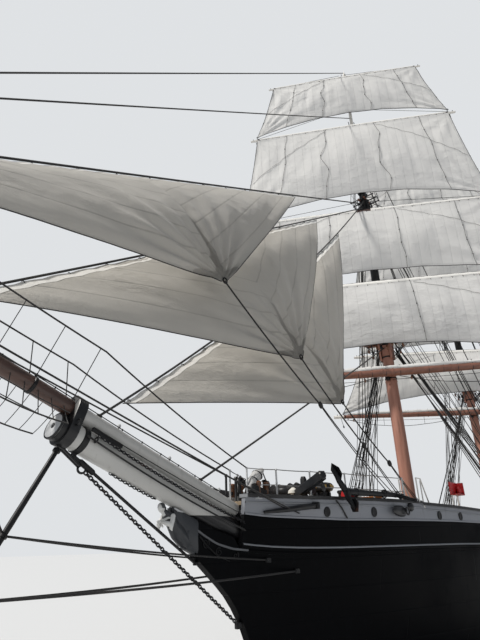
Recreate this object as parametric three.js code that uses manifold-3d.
// A three-masted barque under sail, as a 1:10 scale model.
// Sizes below are metres of the real ship; the whole group is scaled to millimetres of the model.
// +X is the bow, +Y port, +Z up; the origin is on the centreline at the waterline, amidships.
import * as THREE from "three";
import { mergeVertices } from "three/addons/utils/BufferGeometryUtils.js";
import Module from "manifold-3d";

const wasm = await Module();
wasm.setup();

// Driving dimensions
const scaleMillimetres = 100; // millimetres of the model for one metre of the ship
const seat = 0.003; // gap between a piece and what it rests on
const beamHalf = 5.35;
const stemHead = 33.25;
const keelDepth = -3.7;
const stemHalf = 0.12;
const deckThickness = 0.12;
const wallThickness = 0.14;
const deckMargin = 0.02; // gap between a deck's edge and the bulwark
const capRail = { out: 0.1, inboard: 0.26, height: 0.13 };
const moulding = { out: 0.07, height: 0.14 };
const breakOfForecastle = 24.2;
const railStep = 0.05; // drop of the rail abaft the forecastle
const breakOfPoop = -19;
const bulwarkFore = 31.5;
const forecastleFore = 31.15;
const rake = 0.0086; // aft rake of the masts, radians
const ropeSides = 5;

// Sheer: height of the hull moulding and of the rail along the ship
// columns: x, moulding, rail
const sheer = [
  [-34.6, 5.55, 6.8],
  [-30, 5.15, 6.42],
  [-20, 4.6, 6.0],
  [-10, 4.25, 5.7],
  [0, 4.15, 5.62],
  [10, 4.4, 5.88],
  [20, 4.82, 6.38],
  [24.2, 4.86, 6.55],
  [30, 4.92, 6.62],
  [33.4, 5.3, 6.68],
];

// Hull sections: keel is the height of the lowest point, round and hollow shape the side
// columns: x, keel, round, hollow
const sections = [
  [-34.3, 5.0, 1.0, 0.6],
  [-33.4, 3.9, 1.0, 0.65],
  [-32.2, 2.7, 1.0, 0.7],
  [-30.8, 1.5, 1.1, 0.9],
  [-29.7, 0.6, 1.1, 1.1],
  [-29.6, keelDepth, 1.05, 3.2],
  [-27.5, keelDepth, 1.3, 2.2],
  [-24.5, keelDepth, 1.9, 1.5],
  [-20, keelDepth, 3, 0.95],
  [-14, keelDepth, 4.5, 0.62],
  [-6, keelDepth, 6, 0.5],
  [2, keelDepth, 6.5, 0.5],
  [9, keelDepth, 5.5, 0.55],
  [15, keelDepth, 4, 0.7],
  [20, keelDepth, 3, 0.95],
  [24, keelDepth, 2.2, 1.15],
  [26.5, -3.5, 1.7, 1.2],
  [28.2, -2.6, 1.3, 1.2],
  [29.7, 0, 1.1, 1.05],
  [30.5, 1.7, 1.05, 1.0],
  [31.1, 2.9, 1, 0.9],
  [31.8, 3.75, 1, 0.85],
  [32.5, 4.3, 1, 0.8],
  [stemHead, 4.85, 1, 0.8],
];
// More places where the hull, the bulwarks and the decks share a section
const extraStations = [-18, 22.2, breakOfForecastle - 0.05, breakOfForecastle + 0.05, 27.4, 29];
extraStations.push(bulwarkFore);
const stations = [...sections.map(([x]) => x), ...extraStations].sort((a, b) => a - b);
const placesBetween = (x0, x1) => [x0, ...stations.filter((x) => x > x0 && x < x1), x1];
const sideShares = [0, 0.05, 0.12, 0.22, 0.36, 0.55, 0.78, 1];

const bowsprit = { heelX: 30.2, heelZ: 5.18, angle: 0.328, radius: 0.32, end: 8.35, cap: 8.0 };
const jibBoom = { rise: 0.586, radius: 0.21, heel: 1.4, end: 18.25 };

// Colours and finishes of the pieces
const paint = (color, roughness, metalness = 0) =>
  new THREE.MeshStandardMaterial({ color, roughness, metalness });
const colours = {
  black: "#15171a",
  bulwark: "#5c6470",
  deck: "#9c8466",
  white: "#d9d6cd",
  buff: "#a5694f",
  spar: "#8a5640",
  canvas: "#c9c6bd",
  rope: "#1d1c1e",
  iron: "#1b1c1f",
  varnish: "#6d4326",
};

const ship = new THREE.Group();
ship.scale.setScalar(scaleMillimetres);

// A closed geometry as a solid, its shared vertices merged and its faces pointing out
function solid(geometry) {
  const flat = geometry.index ? geometry.toNonIndexed() : geometry;
  const bare = new THREE.BufferGeometry();
  bare.setAttribute("position", flat.getAttribute("position").clone());
  const merged = mergeVertices(bare, 1e-5);
  const corners = merged.index.array;
  const kept = [];
  for (let i = 0; i < corners.length; i += 3) {
    const [a, b, c] = [corners[i], corners[i + 1], corners[i + 2]];
    if (a !== b && b !== c && c !== a) kept.push(a, b, c);
  }
  const build = (triangles) =>
    new wasm.Manifold(
      new wasm.Mesh({
        numProp: 3,
        vertProperties: merged.attributes.position.array,
        triVerts: new Uint32Array(triangles),
      }),
    );
  const made = build(kept);
  if (made.volume() > 0) return made;
  const turned = [];
  for (let i = 0; i < kept.length; i += 3) turned.push(kept[i], kept[i + 2], kept[i + 1]);
  return build(turned);
}

const joined = (solids) => solids.reduce((whole, next) => whole.add(next));

// Adds one named piece, made of one solid, to a group
function piece(name, body, color, parent = ship, roughness = 0.6, metalness = 0) {
  const mesh = body.getMesh();
  const geometry = new THREE.BufferGeometry();
  geometry.setAttribute("position", new THREE.BufferAttribute(mesh.vertProperties, 3));
  geometry.setIndex(new THREE.BufferAttribute(mesh.triVerts, 1));
  geometry.computeVertexNormals();
  const made = new THREE.Mesh(geometry, paint(colours[color], roughness, metalness));
  made.name = name;
  parent.add(made);
  return made;
}

// Basic forms
const point = (x, y, z) => new THREE.Vector3(x, y, z);

// A round spar between two points; radii is a list of [share of the length, radius]
function spar(from, to, radii, sides = 12) {
  const length = from.distanceTo(to);
  const outline = radii.map(([share, radius]) => new THREE.Vector2(radius, share * length));
  const first = new THREE.Vector2(0, outline[0].y);
  const last = new THREE.Vector2(0, outline.at(-1).y);
  const turned = new THREE.LatheGeometry([first, ...outline, last], sides);
  const direction = to.clone().sub(from).normalize();
  const turn = new THREE.Quaternion().setFromUnitVectors(point(0, 1, 0), direction);
  return solid(turned.applyQuaternion(turn).translate(from.x, from.y, from.z));
}

const rod = (from, to, radius, sides = ropeSides) =>
  spar(from, to, [[0, radius], [1, radius]], sides);

function block(low, high) {
  const size = high.clone().sub(low);
  const centre = high.clone().add(low).multiplyScalar(0.5);
  return solid(
    new THREE.BoxGeometry(size.x, size.y, size.z).translate(centre.x, centre.y, centre.z),
  );
}

// An upright ring, such as an eye or a gudgeon, standing on bottom
function ring(centre, hole, outer, height, sides = 12) {
  const outline = new THREE.Shape().absarc(0, 0, outer, 0, Math.PI * 2);
  outline.holes.push(new THREE.Path().absarc(0, 0, hole, 0, Math.PI * 2, true));
  const settings = { depth: height, bevelEnabled: false, curveSegments: sides / 2 };
  const made = new THREE.ExtrudeGeometry(outline, settings);
  return solid(made.translate(centre.x, centre.y, centre.z));
}

// A flat plate with an outline in X and Y, standing on bottom
function plate(outline, bottom, height) {
  const shape = new THREE.Shape(outline.map(([x, y]) => new THREE.Vector2(x, y)));
  const settings = { depth: height, bevelEnabled: false };
  return solid(new THREE.ExtrudeGeometry(shape, settings).translate(0, 0, bottom));
}

// A rope along a sagging line: the middle hangs by sag below the straight line
function sagging(from, to, radius, sag) {
  const steps = sag > 0.5 ? 10 : 4;
  const middle = from.clone().add(to).multiplyScalar(0.5);
  middle.z -= 2 * sag;
  const route = new THREE.QuadraticBezierCurve3(from, middle, to);
  const circle = new THREE.Shape(
    Array.from({ length: ropeSides + 1 }, (_, i) => {
      const angle = (i * 2 * Math.PI) / (ropeSides + 1);
      return new THREE.Vector2(radius * Math.cos(angle), radius * Math.sin(angle));
    }),
  );
  const settings = { steps, extrudePath: route, bevelEnabled: false };
  return solid(new THREE.ExtrudeGeometry(circle, settings));
}

// A closed skin through rings of points, one ring after another, with its ends filled
function loft(rings) {
  const corners = [];
  const add = (...points) => points.forEach((p) => corners.push(p.x, p.y, p.z));
  const count = rings[0].length;
  for (let i = 0; i + 1 < rings.length; i++)
    for (let j = 0; j < count; j++) {
      const k = (j + 1) % count;
      add(rings[i][j], rings[i][k], rings[i + 1][k]);
      add(rings[i][j], rings[i + 1][k], rings[i + 1][j]);
    }
  for (const [end, sign] of [[rings[0], -1], [rings.at(-1), 1]]) {
    const flat = end.map((p) => new THREE.Vector2(p.y, p.z));
    const turn = sign * Math.sign(THREE.ShapeUtils.area(flat));
    for (const [a, b, c] of THREE.ShapeUtils.triangulateShape(flat, [])) {
      const facing = THREE.ShapeUtils.area([flat[a], flat[b], flat[c]]) * turn > 0;
      facing ? add(end[a], end[b], end[c]) : add(end[a], end[c], end[b]);
    }
  }
  const skin = new THREE.BufferGeometry();
  skin.setAttribute("position", new THREE.Float32BufferAttribute(corners, 3));
  return solid(skin);
}

// A thin sheet of cloth over a grid of points, rows of equal length, thickened both ways
function cloth(rows, thickness) {
  const last = rows.length - 1;
  const end = rows[0].length - 1;
  const side = (sign) =>
    rows.map((row, i) =>
      row.map((p, j) => {
        const along = rows[Math.min(i + 1, last)][j].clone().sub(rows[Math.max(i - 1, 0)][j]);
        const inner = end > 0 && along.lengthSq() < 1e-6 ? Math.max(j - 1, 0) : j;
        const across = rows[i][Math.min(j + 1, end)].clone().sub(rows[i][Math.max(j - 1, 0)]);
        if (inner !== j) along.copy(rows[Math.min(i + 1, last)][inner]).sub(rows[Math.max(i - 1, 0)][inner]);
        return p.clone().addScaledVector(along.cross(across).normalize(), (sign * thickness) / 2);
      }),
    );
  const [front, back] = [side(1), side(-1)];
  const corners = [];
  const add = (...points) => points.forEach((p) => corners.push(p.x, p.y, p.z));
  const quad = (a, b, c, d) => {
    add(a, b, c);
    add(a, c, d);
  };
  for (let i = 0; i < last; i++)
    for (let j = 0; j < end; j++) {
      quad(front[i][j], front[i + 1][j], front[i + 1][j + 1], front[i][j + 1]);
      quad(back[i][j], back[i][j + 1], back[i + 1][j + 1], back[i + 1][j]);
    }
  for (let i = 0; i < last; i++) {
    quad(front[i][0], back[i][0], back[i + 1][0], front[i + 1][0]);
    quad(front[i][end], front[i + 1][end], back[i + 1][end], back[i][end]);
  }
  for (let j = 0; j < end; j++) {
    quad(front[0][j], front[0][j + 1], back[0][j + 1], back[0][j]);
    quad(front[last][j], back[last][j], back[last][j + 1], front[last][j + 1]);
  }
  const skin = new THREE.BufferGeometry();
  skin.setAttribute("position", new THREE.Float32BufferAttribute(corners, 3));
  return solid(skin);
}

// A smooth value from a table whose first column is x
function along(table, x, column) {
  let i = table.findIndex((row) => row[0] > x);
  i = i < 1 ? (i === 0 ? 1 : table.length - 1) : i;
  const [x0, x1] = [table[i - 1][0], table[i][0]];
  const [y0, y1] = [table[i - 1][column], table[i][column]];
  const slope = (a, b) => (table[b][column] - table[a][column]) / (table[b][0] - table[a][0]);
  const startSlope = slope(Math.max(i - 2, 0), i);
  const endSlope = slope(i - 1, Math.min(i + 1, table.length - 1));
  const t = (x - x0) / (x1 - x0);
  const span = x1 - x0;
  return (
    y0 * (2 * t ** 3 - 3 * t ** 2 + 1) +
    startSlope * span * (t ** 3 - 2 * t ** 2 + t) +
    y1 * (3 * t ** 2 - 2 * t ** 3) +
    endSlope * span * (t ** 3 - t ** 2)
  );
}

// The same line or side, straight between the stations
function betweenStations(shape) {
  return (x, height) => {
    const found = stations.findIndex((place) => place > x);
    const next = found < 1 ? (found === 0 ? 1 : stations.length - 1) : found;
    const [x0, x1] = [stations[next - 1], stations[next]];
    const share = (x - x0) / (x1 - x0);
    return shape(x0, height) * (1 - share) + shape(x1, height) * share;
  };
}

// Lines of the hull
const mouldingAt = betweenStations((x) => along(sheer, x, 1));
const railAt = betweenStations((x) => along(sheer, x, 2));
const railTop = (x) => railAt(x) - (x < breakOfForecastle ? railStep : 0);
const deckAt = (x) => mouldingAt(x) + 0.02;
const bowspritAt = (x) => bowsprit.heelZ + (x - bowsprit.heelX) * Math.tan(bowsprit.angle);
const bowspritUnder = (x) => bowspritAt(x) - bowsprit.radius / Math.cos(bowsprit.angle);

function railHalf(x) {
  if (x > 6) return beamHalf * (1 - ((x - 6) / 26.65) ** 2.75);
  if (x < -8) return beamHalf * (1 - ((-8 - x) / 26.7) ** 6);
  return beamHalf;
}

const sideAt = betweenStations((x, z) => {
  const keel = along(sections, x, 1);
  const round = along(sections, x, 2);
  const hollow = along(sections, x, 3);
  const share = Math.min(Math.max((z - keel) / (railAt(x) - keel), 0), 1);
  const half = Math.max(railHalf(x), stemHalf);
  return stemHalf + (half - stemHalf) * (1 - (1 - share) ** round) ** hollow;
});

function hullTop(x) {
  const top = deckAt(x) - deckThickness - seat;
  return x > 31.75 ? bowspritUnder(x) - seat : top;
}

// Hull and rudder
const post = { x: -29.95, radius: 0.13, foot: -3.45, head: 0.3, blade: 1.75 };
const gudgeons = [-3.2, -1.9, -0.6];
const gudgeon = { height: 0.16, outer: 0.2 };

function hull() {
  const rings = stations.map((x) => {
    const keel = along(sections, x, 1);
    const top = Math.max(hullTop(x), keel + 0.25);
    const starboard = sideShares.map((share) => {
      const z = keel + (top - keel) * share;
      return point(x, -sideAt(x, z), z);
    });
    return [...starboard, ...starboard.map((p) => point(x, -p.y, p.z)).reverse()];
  });
  const lugs = gudgeons.flatMap((z) => [
    ring(point(post.x, 0, z), post.radius + 0.008, gudgeon.outer, gudgeon.height),
    block(point(post.x + post.radius + 0.01, -0.1, z), point(-29.4, 0.1, z + gudgeon.height)),
  ]);
  return joined([loft(rings), ...lugs]);
}

function rudder() {
  const { x, radius, foot, head, blade } = post;
  const outline = [
    [0.05, foot],
    [blade, foot + 0.15],
    [blade - 0.05, foot + 1.6],
    [blade - 0.75, head - 0.75],
    [0.25, head],
    [0.05, head],
  ];
  const shape = new THREE.Shape(outline.map(([a, z]) => new THREE.Vector2(a, z)));
  const settings = { depth: 0.16, bevelEnabled: false };
  const flat = new THREE.ExtrudeGeometry(shape, settings).translate(0, 0, -0.08);
  const upright = flat.rotateX(Math.PI / 2).rotateZ(Math.PI).translate(x, 0, 0);
  const stock = rod(point(x, 0, foot), point(x, 0, head), radius, 16);
  const bladePlate = gudgeons.reduce((cutting, z) => {
    const low = point(x - gudgeon.outer - 0.1, -0.2, z - 0.05);
    return cutting.subtract(block(low, point(x + 0.2, 0.2, z + gudgeon.height + 0.05)));
  }, solid(upright));
  return bladePlate.add(stock);
}

// Upper hull
function bulwark(side) {
  const places = placesBetween(-34.25, bulwarkFore);
  const rings = places.map((x) => {
    const [low, mould, top] = [hullTop(x) + seat, mouldingAt(x), railTop(x)];
    const inner = (z) => Math.max(sideAt(x, z) - wallThickness, 0.02);
    const capIn = Math.max(sideAt(x, top) - capRail.inboard, 0.015);
    // columns: half-breadth, height
    const outline = [
      [sideAt(x, low), low],
      [sideAt(x, mould) + moulding.out, mould],
      [sideAt(x, mould) + moulding.out, mould + moulding.height],
      [sideAt(x, mould + moulding.height), mould + moulding.height + 0.01],
      [sideAt(x, (mould + top) / 2), (mould + top) / 2],
      [sideAt(x, top - capRail.height), top - capRail.height],
      [sideAt(x, top) + capRail.out, top - capRail.height + 0.01],
      [sideAt(x, top) + capRail.out, top],
      [capIn, top],
      [capIn, top - capRail.height],
      [Math.max(inner(top - capRail.height), capIn + 0.004), top - capRail.height - 0.01],
      [inner(low), low],
    ];
    return outline.map(([y, z]) => point(x, side * y, z));
  });
  const [low, high] = [hullTop(-34.25) + 0.02, railAt(-34.25)];
  const half = sideAt(-34.25, high);
  const [near, far] = [side * seat, side * half].sort((a, b) => a - b);
  return joined([loft(rings), block(point(-34.35, near, low), point(-34.2, far, high))]);
}

// A deck following the sheer between two places, at a height above the moulding line
function deckSlab(places, heightAt, thickness, margin) {
  const rings = places.map((x) => {
    const top = heightAt(x);
    const bottom = top - thickness;
    const half = Math.min(sideAt(x, top), sideAt(x, bottom)) - wallThickness - margin;
    return [point(x, -half, bottom), point(x, half, bottom), point(x, half, top), point(x, -half, top)];
  });
  return loft(rings);
}

// A level-topped block that stands in the sloping main deck
function deckBlock(x0, x1, half, high) {
  const rings = placesBetween(x0, x1).map((x) => {
    const low = deckAt(x) - deckThickness / 2;
    return [point(x, -half, low), point(x, half, low), point(x, half, high), point(x, -half, high)];
  });
  return loft(rings);
}

// Hatches on the main deck; columns: x0, x1, half-width, coaming height
const hatches = [
  [19.4, 21.4, 1.1, 0.6],
  [3.0, 6.6, 1.6, 0.7],
  [-10.2, -7.6, 1.3, 0.6],
];
const house = { x0: 7.9, x1: 11.9, half: 2.3, height: 2.1 };

// Masts: place, lower mast's top, upper mast's hounds, truck, and how far the yards are braced
const masts = {
  fore: { x: 16.41, top: 16.7, hounds: 27.2, truck: 40.3, brace: 0.505 },
  main: { x: -0.72, top: 17.4, hounds: 28.0, truck: 41.1, brace: 0.607 },
  mizzen: { x: -16.9, top: 18.2, hounds: 24, truck: 33.5 },
};
const mastBed = { half: 0.55, rise: 0.06 };
const bedTop = (x) => deckAt(x) + mastBed.rise;

function mainDeck() {
  const places = placesBetween(breakOfPoop + 0.2, breakOfForecastle - 0.2);
  const slab = deckSlab(places, deckAt, deckThickness, deckMargin);
  const coamings = hatches.map(([x0, x1, half, height]) =>
    deckBlock(x0, x1, half, Math.min(deckAt(x0), deckAt(x1)) + height),
  );
  const beds = Object.values(masts).map(({ x }) =>
    deckBlock(x - mastBed.half, x + mastBed.half, mastBed.half, bedTop(x)),
  );
  return joined([slab, ...coamings, ...beds]);
}

// Guard rails: posts along the deck's edge, and a rod along their heads
const guard = { height: 1.05, post: 0.035, rod: 0.028, inboard: 0.42 };

function guardRail(places, levelAt) {
  const parts = [];
  for (const side of [1, -1]) {
    const feet = places.map((x) => {
      const z = levelAt(x);
      return point(x, side * (sideAt(x, z) - guard.inboard), z);
    });
    feet.forEach((foot, i) => {
      const head = foot.clone().setZ(foot.z + guard.height);
      parts.push(rod(foot.clone().setZ(foot.z - 0.04), head, guard.post, 4));
      if (i === 0) return;
      const before = feet[i - 1].clone().setZ(feet[i - 1].z + guard.height - 0.03);
      parts.push(rod(before, head.setZ(head.z - 0.03), guard.rod, 4));
    });
  }
  return parts;
}

const forecastleAt = (x) => railAt(x) - 0.17;
const poopAt = (x) => railAt(x) - 0.3;

const cathead = { x: 29.5, radius: 0.16 };

function forecastleDeck() {
  const places = placesBetween(breakOfForecastle + 0.1, forecastleFore);
  const slab = deckSlab(places, forecastleAt, deckThickness, 0.13 + deckMargin);
  const x = breakOfForecastle + 0.1;
  const top = forecastleAt(x);
  const half = sideAt(x, top) - wallThickness - 0.3;
  const bulkhead = block(
    point(x, -half, deckAt(x) + 0.02),
    point(x + 0.12, half, top - deckThickness / 2),
  );
  const catheads = [1, -1].map((side) => {
    const y = sideAt(cathead.x, forecastleAt(cathead.x));
    const level = railAt(cathead.x);
    const inner = point(cathead.x - 0.7, side * (y - 1.2), level - 0.1);
    const outer = point(cathead.x + 0.6, side * (y + 1.1), level + 0.5);
    return rod(inner, outer, cathead.radius, 4);
  });
  const bed = rod(capstanAt.clone().setZ(capstanAt.z - 0.12), capstanAt, 0.6, 16);
  const rails = guardRail([24.5, 26.1, 27.4, 30.1, 31.1], forecastleAt);
  return joined([slab, bulkhead, bed, ...catheads, ...rails]);
}

function deckhouse() {
  const { x0, x1, half, height } = house;
  const level = Math.max(deckAt(x0), deckAt(x1)) + seat;
  const walls = block(point(x0, -half, level), point(x1, half, level + height));
  const roof = block(
    point(x0 - 0.2, -half - 0.2, level + height - 0.05),
    point(x1 + 0.2, half + 0.2, level + height + 0.08),
  );
  return joined([walls, roof]);
}

const capstanAt = point(25.7, 0, forecastleAt(25.7) + 0.06);

function capstan() {
  const base = capstanAt.clone().setZ(capstanAt.z + seat);
  const profile = [[0, 0.5], [0.12, 0.5], [0.2, 0.34], [0.62, 0.3], [0.68, 0.46], [1, 0.46]];
  const barrel = spar(base, base.clone().setZ(base.z + 0.95), profile, 12);
  const bars = [0, 1, 2].map((i) => {
    const angle = (i * Math.PI) / 3;
    const reach = point(Math.cos(angle) * 0.52, Math.sin(angle) * 0.52, 0.8);
    return rod(base.clone().add(reach), base.clone().add(reach.setX(-reach.x).setY(-reach.y)), 0.06, 4);
  });
  return joined([barrel, ...bars]);
}

// Anchors on the forecastle's edges: shank, arms with palms, and stock
function anchor(side) {
  const place = (x, inboard, rise) => {
    const z = railAt(x);
    return point(x, side * (sideAt(x, z) - inboard), z + rise);
  };
  const crown = place(28.0, -0.13, 0.149);
  const head = place(25.5, -0.02, 0.139);
  const shank = spar(crown, head, [[0, 0.12], [1, 0.09]], 6);
  const armUp = spar(crown, place(28.4, -0.05, 1.0), [[0, 0.12], [0.8, 0.1], [1, 0.04]], 6);
  const armDown = spar(crown, place(28.4, -0.75, -0.45), [[0, 0.12], [0.8, 0.1], [1, 0.04]], 6);
  const stockEnds = [place(25.6, -0.75, -0.1), place(25.6, 0.4, 0.28)];
  const stock = spar(...stockEnds, [[0, 0.05], [0.5, 0.08], [1, 0.05]], 6);
  return joined([shank, armUp, armDown, stock]);
}

// The poop carries a skylight and, at the stern, the box and shaft of the steering wheel
const wheelAt = point(-30.6, 0, 0);
wheelAt.z = poopAt(wheelAt.x) + 1.05;
const light = { x0: -25.4, x1: -22.8, half: 0.9, side: 0.6, ridge: 1.0 };

function skylight() {
  const { x0, x1, half, side, ridge } = light;
  const level = Math.max(poopAt(x0), poopAt(x1));
  const low = Math.min(poopAt(x0), poopAt(x1)) - deckThickness / 2;
  const outline = [[-half, low], [half, low], [half, level + side], [0, level + ridge]];
  outline.push([-half, level + side]);
  return loft([x0, x1].map((x) => outline.map(([y, z]) => point(x, y, z))));
}

function wheelBox() {
  const low = Math.min(poopAt(-32.4), poopAt(-31.1)) - deckThickness / 2;
  const box = block(point(-32.4, -0.5, low), point(-31.1, 0.5, wheelAt.z));
  const head = block(point(-31.9, -0.3, wheelAt.z - 0.1), point(-31.1, 0.3, wheelAt.z + 0.14));
  const shaft = rod(point(-31.2, 0, wheelAt.z), point(wheelAt.x + 0.2, 0, wheelAt.z), 0.06, 16);
  return joined([box, head, shaft]);
}

function poopDeck() {
  const places = placesBetween(-34.0, breakOfPoop);
  const slab = deckSlab(places, poopAt, deckThickness, 0.13 + deckMargin);
  const top = poopAt(breakOfPoop);
  const half = sideAt(breakOfPoop, top) - wallThickness - 0.3;
  const foot = Math.max(hullTop(breakOfPoop), hullTop(breakOfPoop - 0.12)) + seat;
  const bulkhead = block(
    point(breakOfPoop - 0.12, -half, foot),
    point(breakOfPoop, half, top - deckThickness / 2),
  );
  const posts = [-33.3, -31.2, -28.2, -25.2, -22.2];
  return joined([slab, bulkhead, skylight(), wheelBox(), ...guardRail(posts, poopAt)]);
}

function steeringWheel() {
  const flat = ring(point(0, 0, -0.04), 0.6, 0.7, 0.08, 16);
  const hub = ring(point(0, 0, -0.07), 0.067, 0.15, 0.14);
  const spokes = Array.from({ length: 8 }, (_, i) => {
    const angle = (i * Math.PI) / 4;
    const out = (r) => point(r * Math.cos(angle), r * Math.sin(angle), 0);
    return rod(out(0.12), out(0.9), 0.03, 4);
  });
  return joined([flat, hub, ...spokes]);
}

// Bow gear
const bowDirection = point(Math.cos(bowsprit.angle), 0, Math.sin(bowsprit.angle));
const bowUp = point(-Math.sin(bowsprit.angle), 0, Math.cos(bowsprit.angle));
const onBowsprit = (length, rise = 0, side = 0) =>
  point(bowsprit.heelX, side, bowsprit.heelZ)
    .addScaledVector(bowDirection, length)
    .addScaledVector(bowUp, rise);
const onBoom = (length, rise = 0, side = 0) => onBowsprit(length, jibBoom.rise + rise, side);

function tilted(shape) {
  return solid(shape.rotateY(-bowsprit.angle).translate(bowsprit.heelX, 0, bowsprit.heelZ));
}

function bowspritPiece() {
  const { radius, end } = bowsprit;
  const tube = spar(onBowsprit(0), onBowsprit(end), [[0, radius * 0.87], [0.2, radius], [1, radius]], 16);
  const height = jibBoom.rise + 0.8;
  const capBlock = tilted(
    new THREE.BoxGeometry(0.3, 0.8, height).translate(bowsprit.cap, 0, height / 2 - 0.4),
  );
  const hole = rod(onBoom(bowsprit.cap - 1), onBoom(bowsprit.cap + 1), jibBoom.radius + 0.006, 16);
  return joined([tube, capBlock]).subtract(hole);
}

function jibBoomPiece() {
  const { radius, heel, end } = jibBoom;
  return spar(onBoom(heel), onBoom(end), [[0, radius], [0.45, radius], [1, radius * 0.55]], 16);
}

const striker = {
  head: onBowsprit(bowsprit.cap, -0.42),
  foot: point(39.58, 0, 4.25),
  radius: 0.09,
  eye: 0.06,
};

// The striker, with the martingale from its foot to the boom and the back-ropes to both bows
function dolphinStriker() {
  const { head, foot, radius, eye } = striker;
  const staff = spar(head, foot, [[0, radius], [0.5, 0.1], [1, 0.06]], 8);
  const knob = block(foot.clone().subScalar(eye), foot.clone().addScalar(eye));
  const lines = [rod(foot, onBoom(jibBoom.end - 0.15, -0.148), 0.03)];
  lines.push(rod(foot, onBoom(11.9, -0.215), 0.03));
  for (const side of [1, -1]) {
    const z = 4.35;
    lines.push(rod(foot, point(29.6, side * (sideAt(29.6, z) + 0.036), z), 0.03));
  }
  return joined([staff, knob, ...lines]);
}

function bobstays() {
  const eye = onBowsprit(bowsprit.cap - 0.45, -bowsprit.radius - 0.079);
  const knob = block(eye.clone().subScalar(0.06), eye.clone().addScalar(0.06));
  const outer = rod(eye, point(31.26, 0, 2.975), 0.06, 6);
  const inner = rod(eye, point(33.14, 0, 4.7), 0.04, 6);
  return joined([knob, outer, inner]);
}

// A carved figure in a long robe leans out from the stem under the bowsprit
// columns: x, z, half-width, half-depth, from the hem to the neck
const robe = [
  [33.42, 5.13, 0.12, 0.1],
  [33.6, 5.22, 0.2, 0.14],
  [33.85, 5.47, 0.24, 0.2],
  [34.1, 5.74, 0.18, 0.16],
  [34.25, 5.93, 0.23, 0.14],
  [34.35, 6.02, 0.13, 0.09],
  [34.44, 6.08, 0.06, 0.06],
];
const figureLean = 0.82; // of the robe's axis above level, radians
const figureHead = { x: 34.52, z: 6.14, half: 0.095, depth: 0.11, height: 0.125 };

function figurehead() {
  const around = Array.from({ length: 10 }, (_, i) => (i * Math.PI) / 5);
  const body = loft(
    robe.map(([x, z, width, depth]) =>
      around.map((a) => {
        const back = depth * Math.sin(a);
        return point(x - back * Math.sin(figureLean), width * Math.cos(a), z + back * Math.cos(figureLean));
      }),
    ),
  );
  const { x, z, half, depth, height } = figureHead;
  const head = solid(new THREE.SphereGeometry(1, 10, 8).scale(depth, half, height).translate(x, 0, z));
  const knee = loft(
    [[stemHead + seat, 0.1, 4.93, 5.6], [33.62, 0.15, 5.09, 5.62]].map(([at, wide, low, top]) => [
      point(at, -wide, low),
      point(at, wide, low),
      point(at, wide, top),
      point(at, -wide, top),
    ]),
  );
  const arms = [1, -1].flatMap((side) => {
    const elbow = point(34.36, side * 0.25, 5.7);
    return [
      rod(point(34.26, side * 0.2, 5.93), elbow, 0.055, 6),
      rod(elbow, point(34.56, side * 0.06, 5.78), 0.045, 6),
    ];
  });
  return joined([body, head, knee, ...arms]);
}

const truss = { ahead: 0.55, reach: 0.4, pin: 0.07, pinHole: 0.0757, eye: 0.12, height: 0.3 };

// Yards of the fore and main masts; columns: name, height above the foremast's, half-length, radius
const yards = {
  fore: [
    ["royal", 38.52, 5.85, 0.12],
    ["topgallant", 33.37, 7.47, 0.15],
    ["upper_topsail", 25.62, 9.0, 0.19],
    ["lower_topsail", 20.02, 9.6, 0.21],
    ["course", 14.21, 11.0, 0.26],
  ],
  main: [
    ["royal", 39.2, 5.95, 0.12],
    ["topgallant", 34.0, 7.6, 0.15],
    ["upper_topsail", 26.0, 9.1, 0.19],
    ["lower_topsail", 20.14, 9.18, 0.21],
    ["course", 14.87, 11.48, 0.26],
  ],
};

// Each mast stands in a frame of its own: raked, with +Z along the mast
function mastFrame(mast) {
  const frame = new THREE.Group();
  frame.position.x = mast.x;
  frame.rotation.y = -rake;
  ship.add(frame);
  return frame;
}

// The trusses that carry the yards: an arm from the mast to an upright pin
function trussArm(height) {
  const under = height - truss.height / 2 - seat;
  const arm = block(
    point(0, -0.09, under - 0.2),
    point(truss.ahead + 0.09, 0.09, under),
  );
  const pin = rod(point(truss.ahead, 0, under - 0.05), point(truss.ahead, 0, height + 0.2), truss.pin, 12);
  return [arm, pin];
}

function topPlatform(height, ahead, aft, half) {
  const outline = [
    [-aft, -half],
    [ahead * 0.35, -half],
    [ahead * 0.8, -half * 0.7],
    [ahead, -half * 0.3],
    [ahead, half * 0.3],
    [ahead * 0.8, half * 0.7],
    [ahead * 0.35, half],
    [-aft, half],
  ];
  return plate(outline, height, 0.12);
}

function lowerMast(mast) {
  const shaft = spar(
    point(0, 0, bedTop(mast.x) + seat + 0.37 * rake),
    point(0, 0, mast.top + 0.5),
    [[0, 0.37], [0.6, 0.35], [1, 0.31]],
    16,
  );
  const platform = topPlatform(mast.top, 0.95, 1.3, 1.75);
  return joined([shaft, platform]);
}

function upperMast(mast) {
  const foot = mast.top + 0.5 + seat;
  const head = mast.truck;
  const share = (z) => (z - foot) / (head - foot);
  const shaft = spar(
    point(0, 0, foot),
    point(0, 0, head),
    [
      [0, 0.27],
      [share(mast.hounds), 0.23],
      [share(mast.hounds + 0.6), 0.17],
      [0.94, 0.08],
      [0.97, 0.07],
      [0.975, 0.12],
      [0.99, 0.12],
      [1, 0.03],
    ],
    12,
  );
  const trees = block(point(-0.75, -0.9, mast.hounds), point(0.45, 0.9, mast.hounds + 0.1));
  return joined([shaft, trees]);
}

// A yard's radius at a share of its half-length from the middle
const yardRadius = (radius, share) =>
  radius * (share < 0.5 ? 1 - 0.3 * share : 0.85 - 0.7 * (share - 0.5));

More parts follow.
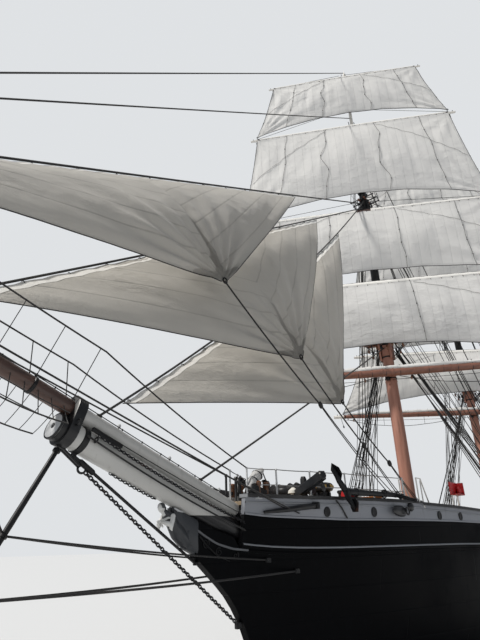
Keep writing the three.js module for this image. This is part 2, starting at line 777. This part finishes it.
// Yards, their eyes and their sails turn about the trusses' pins
function yardPiece(height, half, radius, furled) {
  const from = point(truss.reach, -half, height);
  const to = point(truss.reach, half, height);
  const shares = [0, 0.25, 0.5, 0.75, 1];
  const body = spar(from, to, shares.map((t) => [t, yardRadius(radius, Math.abs(2 * t - 1))]), 10);
  const eye = ring(point(0, 0, height - truss.height / 2), truss.pinHole, truss.eye, truss.height);
  const neck = block(
    point(truss.eye - 0.03, -0.08, height - 0.12),
    point(truss.reach, 0.08, height + 0.12),
  );
  const parts = [body, eye, neck];
  if (furled)
    parts.push(
      spar(
        point(truss.reach + 0.05, -half * 0.9, height + radius * 0.75),
        point(truss.reach + 0.05, half * 0.9, height + radius * 0.75),
        [[0, 0.05], [0.08, 0.13], [0.5, 0.2], [0.92, 0.13], [1, 0.05]],
        8,
      ),
    );
  return joined(parts);
}

// A square sail between its own yard and the one below; roach is the arch of its foot
const sailThickness = 0.025;
const headShare = 0.93; // of the yard's half-length
const headGap = sailThickness / 2 + seat;

function squareSail(upper, lower, roach, belly) {
  const [, top, upperHalf, upperRadius] = upper;
  const [, bottom, lowerHalf, lowerRadius] = lower;
  const headHalf = upperHalf * headShare;
  const footHalf = lowerHalf * headShare;
  const head = top - 0.02;
  const clew = bottom + lowerRadius * 0.6 + 0.12;
  const rows = [];
  for (let i = 0; i <= 4; i++) {
    const down = i / 4;
    rows.push(
      Array.from({ length: 9 }, (_, j) => {
        const across = j / 4 - 1;
        const middle = 1 - across * across;
        const foot = clew + roach * middle;
        const yardFace = yardRadius(upperRadius, Math.abs(across) * headShare) + headGap;
        const fullness = belly * (Math.sin(Math.PI * down * 0.88) * middle);
        const out = (1 - down) * yardFace + down * 0.1 + fullness;
        const width = headHalf + (footHalf - headHalf) * down;
        return point(truss.reach + out, across * width, head + (foot - head) * down);
      }),
    );
  }
  return cloth(rows, sailThickness);
}

// Roach and belly of the sails, by yard; the same on both masts
const sailCut = {
  royal: [1.0, 0.35],
  topgallant: [1.2, 0.45],
  upper_topsail: [0.65, 0.5],
  lower_topsail: [1.4, 0.5],
};

// A point near a mast: height along it, and how far ahead and to port of its axis
function atMast(mast, height, ahead, port = 0) {
  return point(
    mast.x + ahead * Math.cos(rake) - height * Math.sin(rake),
    port,
    height * Math.cos(rake) + ahead * Math.sin(rake),
  );
}

// The mizzen's fore-and-aft sail, its boom and its gaff turn about pins aft of the mast
const spanker = { pivot: -0.62, thickness: 0.025, luffFoot: 0.75 };
const boom = { height: 8.25, length: 14.0, rise: 0.07, radius: 0.16 };
const gaff = { height: 15.3, length: 9.2, rise: 0.68, radius: 0.12 };

function swungSpar({ height, length, rise, radius }) {
  const root = point(-truss.eye * Math.cos(rise), 0, height + truss.eye * Math.sin(rise));
  const end = point(-length * Math.cos(rise), 0, height + length * Math.sin(rise));
  const eye = ring(point(0, 0, height - truss.height / 2), truss.pinHole, truss.eye, truss.height);
  const body = spar(root, end, [[0, 0.07], [0.05, radius], [0.6, radius], [1, radius * 0.55]], 12);
  return joined([eye, body]).subtract(
    rod(point(0, 0, height - 1), point(0, 0, height + 1), truss.pinHole, 12),
  );
}

function goosenecks() {
  return [boom.height, gaff.height].flatMap((height) => {
    const under = height - truss.height / 2 - seat;
    return [
      block(point(spanker.pivot - 0.09, -0.09, under - 0.2), point(0, 0.09, under)),
      rod(point(spanker.pivot, 0, under - 0.05), point(spanker.pivot, 0, height + 0.2), truss.pin, 12),
    ];
  });
}

function spankerSail() {
  const footGap = spanker.thickness / 2 - 0.005;
  const along = ({ height, length, rise, radius }, share, offset) => {
    const reach = spanker.luffFoot + (length * 0.95 - spanker.luffFoot) * share;
    return point(
      -reach * Math.cos(rise),
      0,
      height + reach * Math.sin(rise) + (offset * (radius + footGap)) / Math.cos(rise),
    );
  };
  const rows = [];
  for (let i = 0; i <= 6; i++) {
    const up = i / 6;
    rows.push(
      Array.from({ length: 7 }, (_, j) => {
        const share = j / 6;
        const made = along(boom, share, 1).lerp(along(gaff, share, -1), up);
        made.y = 0.55 * Math.sin(Math.PI * up) * Math.sin(Math.PI * share) ** 0.8;
        return made;
      }),
    );
  }
  return cloth(rows, spanker.thickness);
}

// Shrouds and backstays stand on a bar along the rail; feet are distances aft of the mast
// columns of feet: distance aft, kind
const shroudFeet = {
  fore: { lower: [1.5, 2.2, 2.9, 3.6], topmast: [4.6, 5.3], pole: [6.1] },
  main: { lower: [2.0, 2.7, 3.4, 4.1], topmast: [5.0, 5.7], pole: [6.5] },
  mizzen: { lower: [1.5, 2.2, 2.9], topmast: [4.4], pole: [] },
};
const shroud = { radius: 0.035, deadeye: 0.09, deadeyeHeight: 0.4 };

function shrouds(name, side) {
  const mast = masts[name];
  const { lower, topmast, pole } = shroudFeet[name];
  const all = [...lower, ...topmast, ...pole];
  const barAt = (aft) => {
    const x = mast.x - aft;
    return point(x, side * (sideAt(x, railAt(x)) - 0.04), 0);
  };
  const ends = [barAt(all[0] - 0.25), barAt(all.at(-1) + 0.25)];
  const level = (p) => railTop(p.x) + seat;
  const bar = loft(
    ends.map((p) => {
      const [near, far] = [p.y - side * 0.1, p.y + side * 0.06];
      const z = level(p);
      return [
        point(p.x, near, z),
        point(p.x, far, z),
        point(p.x, far, z + 0.1),
        point(p.x, near, z + 0.1),
      ];
    }),
  );
  const onBar = (aft) => {
    const share = (mast.x - aft - ends[0].x) / (ends[1].x - ends[0].x);
    const foot = ends[0].clone().lerp(ends[1], share);
    foot.y -= side * 0.02;
    foot.z = level(ends[0]) + (level(ends[1]) - level(ends[0])) * share + 0.05;
    return foot;
  };
  const heads = {
    lower: atMast(mast, mast.top - 0.25, -0.3, side * 0.4),
    topmast: atMast(mast, mast.hounds - 0.15, -0.12, side * 0.25),
    pole: atMast(mast, mast.truck - 5.6, -0.1, side * 0.13),
  };
  const lines = Object.entries(shroudFeet[name]).flatMap(([kind, feet]) =>
    feet.flatMap((aft) => {
      const foot = onBar(aft);
      const low = shroud.deadeyeHeight / foot.distanceTo(heads[kind]);
      const outline = [[0, shroud.deadeye], [low, shroud.deadeye], [low * 1.1, shroud.radius]];
      return [spar(foot, heads[kind], [...outline, [1, shroud.radius]], 4)];
    }),
  );
  const { x, y, z } = heads.lower;
  const collar = block(point(x - 0.1, y - 0.07, z - 0.1), point(x + 0.3, y + 0.07, z + 0.1));
  return joined([bar, collar, ...lines]);
}

// Stays; each stay runs from the bow gear or deck up to a mast, with the sag of its sail's weight
const stayRadius = 0.04;
const stayEnds = {
  outer_jib_stay: { foot: onBoom(17.4, 0.153), head: atMast(masts.fore, 26.85, 0.253), sag: 0.05 },
  inner_jib_stay: { foot: onBoom(12.35, 0.201), head: atMast(masts.fore, 26.5, 0.257), sag: 0.1 },
  fore_topmast_stay: {
    foot: onBoom(7.3, 0.234),
    head: atMast(masts.fore, 27.05, 0.23, 0.15),
    sag: 0.95,
  },
  fore_stay: { foot: onBoom(3.2, 0.237), head: atMast(masts.fore, 15.95, 0.345), sag: 0.05 },
};

function upperHeadStays() {
  const foot = onBoom(17.95, 0.19);
  const knob = block(foot.clone().subScalar(0.05), foot.clone().addScalar(0.05));
  const heads = [atMast(masts.fore, 35.0, 0.153), atMast(masts.fore, 39.95, 0.155)];
  return joined([knob, ...heads.map((head) => rod(foot, head, 0.03))]);
}

// Lower stays between the masts, from a masthead down to the deck ahead
// columns: mast, height of its head, x of its foot
const lowerStays = [
  ["main", 17.1, 14.9],
  ["mizzen", 17.9, -2.5],
];

function lowerStay([name, height, footX]) {
  const head = atMast(masts[name], height, 0.35);
  return rod(point(footX, 0, deckAt(footX) + stayRadius * 0.83), head, stayRadius);
}

// Headsails; clew is the sheeted corner to port, share is how much of the stay the luff takes
const jibs = {
  outer_jib: { stay: "outer_jib_stay", from: 0.03, to: 0.69, clew: point(34.6, 2.5, 12.34), belly: 0.7 },
  inner_jib: { stay: "inner_jib_stay", from: 0.03, to: 0.715, clew: point(30.6, 2.5, 10.98), belly: 0.7 },
  fore_topmast_staysail: {
    stay: "fore_topmast_stay",
    from: 0.035,
    to: 0.76,
    clew: point(27.3, 2.2, 10.1),
    belly: 0.6,
  },
};

const luffGap = stayRadius + sailThickness / 2;

function stayPoint({ foot, head, sag }, share) {
  const made = foot.clone().lerp(head, share);
  made.z -= 4 * sag * share * (1 - share);
  return made;
}

function jib({ stay, from, to, clew, belly }) {
  const line = stayEnds[stay];
  const steps = 8;
  const rows = [];
  for (let i = 0; i <= steps; i++) {
    const share = from + ((to - from) * i) / steps;
    const luff = stayPoint(line, share);
    const run = stayPoint(line, share + 0.01).sub(stayPoint(line, share - 0.01)).normalize();
    luff.addScaledVector(point(-run.z, 0, run.x), luffGap);
    const corner = clew.clone().addScaledVector(run, (i / steps - 0.5) * 0.3);
    rows.push(
      Array.from({ length: 6 }, (_, j) => {
        const across = j / 5;
        const made = luff.clone().lerp(corner, across);
        const full = Math.sin(Math.PI * across ** 0.8) * Math.sin(Math.PI * (0.1 + (0.8 * i) / steps));
        made.y += belly * full;
        return made;
      }),
    );
  }
  return cloth(rows, sailThickness);
}

// The ship, piece by piece
piece("hull", hull(), "black");
piece("rudder", rudder(), "black");
piece("main_deck", mainDeck(), "deck");
piece("forecastle_deck", forecastleDeck(), "deck");
piece("poop_deck", poopDeck(), "deck");
piece("deckhouse", deckhouse(), "white");
piece("capstan", capstan(), "iron", ship, 0.5, 0.6);
const wheel = piece("steering_wheel", steeringWheel(), "varnish");
wheel.rotation.y = Math.PI / 2;
wheel.position.copy(wheelAt);

for (const [sideName, side] of [["port", 1], ["starboard", -1]]) {
  piece(`bulwark_${sideName}`, bulwark(side), "bulwark");
  piece(`anchor_${sideName}`, anchor(side), "iron", ship, 0.55, 0.6);
  for (const name of Object.keys(masts))
    piece(`${name}_shrouds_${sideName}`, shrouds(name, side), "rope", ship, 0.8);
}

piece("bowsprit", bowspritPiece(), "white");
piece("jib_boom", jibBoomPiece(), "spar");
piece("dolphin_striker", dolphinStriker(), "iron", ship, 0.45, 0.6);
piece("bobstays", bobstays(), "iron", ship, 0.5, 0.6);
piece("figurehead", figurehead(), "white");

for (const [name, { foot, head, sag }] of Object.entries(stayEnds))
  piece(name, sagging(foot, head, stayRadius, sag), "rope", ship, 0.8);
piece("upper_head_stays", upperHeadStays(), "rope", ship, 0.8);
for (const stay of lowerStays) piece(`${stay[0]}_stay`, lowerStay(stay), "rope", ship, 0.8);

for (const [mastName, mast] of Object.entries(masts)) {
  const frame = mastFrame(mast);
  const rig = yards[mastName] ?? [];
  const heights = rig.map(([, height]) => height);
  const lowTrusses = heights.filter((height) => height < mast.top).flatMap(trussArm);
  const highTrusses = heights.filter((height) => height > mast.top).flatMap(trussArm);
  const fittings = mastName === "mizzen" ? goosenecks() : lowTrusses;
  piece(`${mastName}_lower_mast`, joined([lowerMast(mast), ...fittings]), "buff", frame);
  piece(`${mastName}_topmast`, joined([upperMast(mast), ...highTrusses]), "buff", frame);
  const swung = new THREE.Group();
  frame.add(swung);
  if (mastName === "mizzen") {
    swung.position.x = spanker.pivot;
    piece("spanker_boom", swungSpar(boom), "spar", swung);
    piece("spanker_gaff", swungSpar(gaff), "spar", swung);
    piece("spanker", spankerSail(), "canvas", swung, 0.9);
    continue;
  }
  swung.position.x = truss.ahead;
  swung.rotation.z = mast.brace;
  rig.forEach((yard, i) => {
    const [name, height, half, radius] = yard;
    const furled = name === "course";
    piece(`${mastName}_${name}_yard`, yardPiece(height, half, radius, furled), "spar", swung);
    if (furled) return;
    const [roach, belly] = sailCut[name];
    const sail = squareSail(yard, rig[i + 1], roach, belly);
    piece(`${mastName}_${name}_sail`, sail, "canvas", swung, 0.9);
  });
}

for (const [name, cut] of Object.entries(jibs)) piece(name, jib(cut), "canvas", ship, 0.9);

export default ship;
